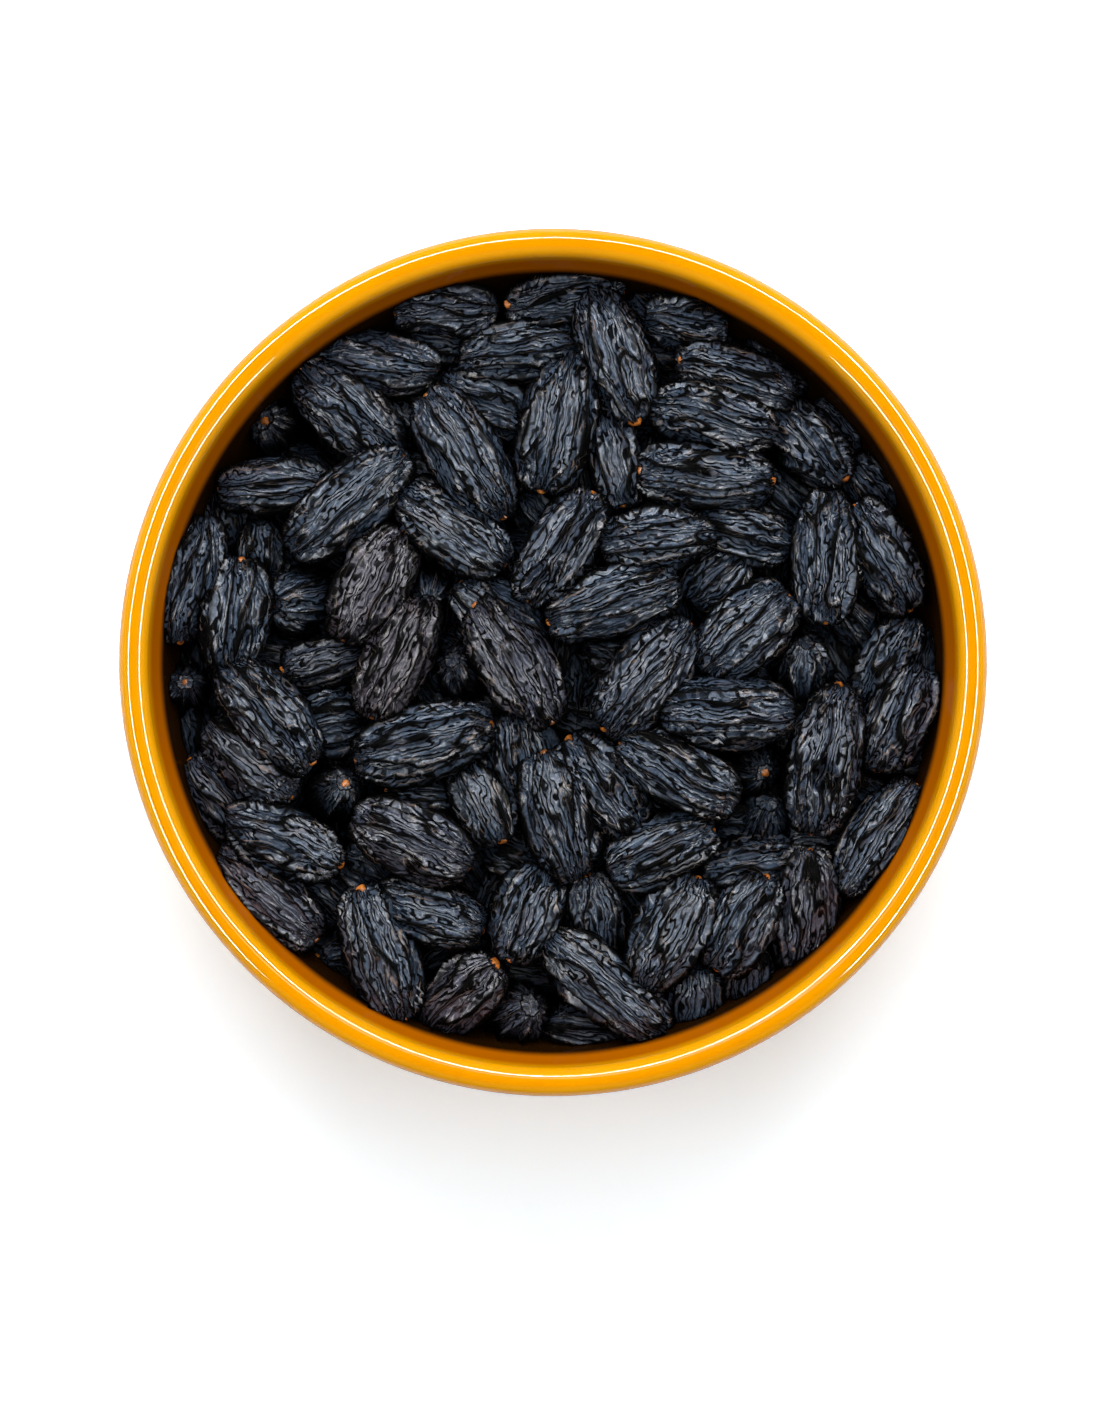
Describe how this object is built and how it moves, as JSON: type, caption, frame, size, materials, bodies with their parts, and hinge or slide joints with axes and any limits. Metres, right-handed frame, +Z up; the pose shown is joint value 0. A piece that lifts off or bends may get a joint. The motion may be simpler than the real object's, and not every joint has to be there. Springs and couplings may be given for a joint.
{
  "type": "bowl of black raisins",
  "caption": "Round footed ceramic bowl with a rolled rim and amber yellow glaze, heaped with long wrinkled black raisins.",
  "frame": {"origin": "centre of the foot ring's resting plane", "axes": "+Z up along the bowl's axis, +Y towards the top of the picture"},
  "size_m": [0.14, 0.14, 0.062],
  "materials": {
    "glaze": "gloss glaze",
    "raisin_bed": "wrinkled satin skin",
    "raisin_slate": "wrinkled satin skin",
    "raisin_brown": "wrinkled satin skin"
  },
  "bodies": {
    "root": {"bowl": "glaze", "raisin_bed": "raisin_bed", "raisin_01": "raisin_slate", "raisin_02": "raisin_slate", "raisin_03": "raisin_slate", "raisin_04": "raisin_slate", "raisin_05": "raisin_slate", "raisin_06": "raisin_slate", "raisin_07": "raisin_slate", "raisin_08": "raisin_slate", "raisin_09": "raisin_slate", "raisin_10": "raisin_slate", "raisin_11": "raisin_brown", "raisin_12": "raisin_brown", "raisin_13": "raisin_slate", "raisin_14": "raisin_brown", "raisin_15": "raisin_slate", "raisin_16": "raisin_slate", "raisin_17": "raisin_slate", "raisin_18": "raisin_slate", "raisin_19": "raisin_slate", "raisin_20": "raisin_slate", "raisin_21": "raisin_slate", "raisin_22": "raisin_slate", "raisin_23": "raisin_slate", "raisin_24": "raisin_slate", "raisin_25": "raisin_slate", "raisin_26": "raisin_slate", "raisin_27": "raisin_slate", "raisin_28": "raisin_slate", "raisin_29": "raisin_slate", "raisin_30": "raisin_slate", "raisin_31": "raisin_slate", "raisin_32": "raisin_slate", "raisin_33": "raisin_slate", "raisin_34": "raisin_slate", "raisin_35": "raisin_slate", "raisin_36": "raisin_slate", "raisin_37": "raisin_slate", "raisin_38": "raisin_slate", "raisin_39": "raisin_slate", "raisin_40": "raisin_slate", "raisin_41": "raisin_slate", "raisin_42": "raisin_slate", "raisin_43": "raisin_slate", "raisin_44": "raisin_slate", "raisin_45": "raisin_slate", "raisin_46": "raisin_slate", "raisin_47": "raisin_slate", "raisin_48": "raisin_slate", "raisin_49": "raisin_brown", "raisin_50": "raisin_slate", "raisin_51": "raisin_slate", "raisin_52": "raisin_slate", "raisin_53": "raisin_slate", "raisin_54": "raisin_slate", "raisin_55": "raisin_slate", "raisin_56": "raisin_slate"}
  },
  "joints": []
}
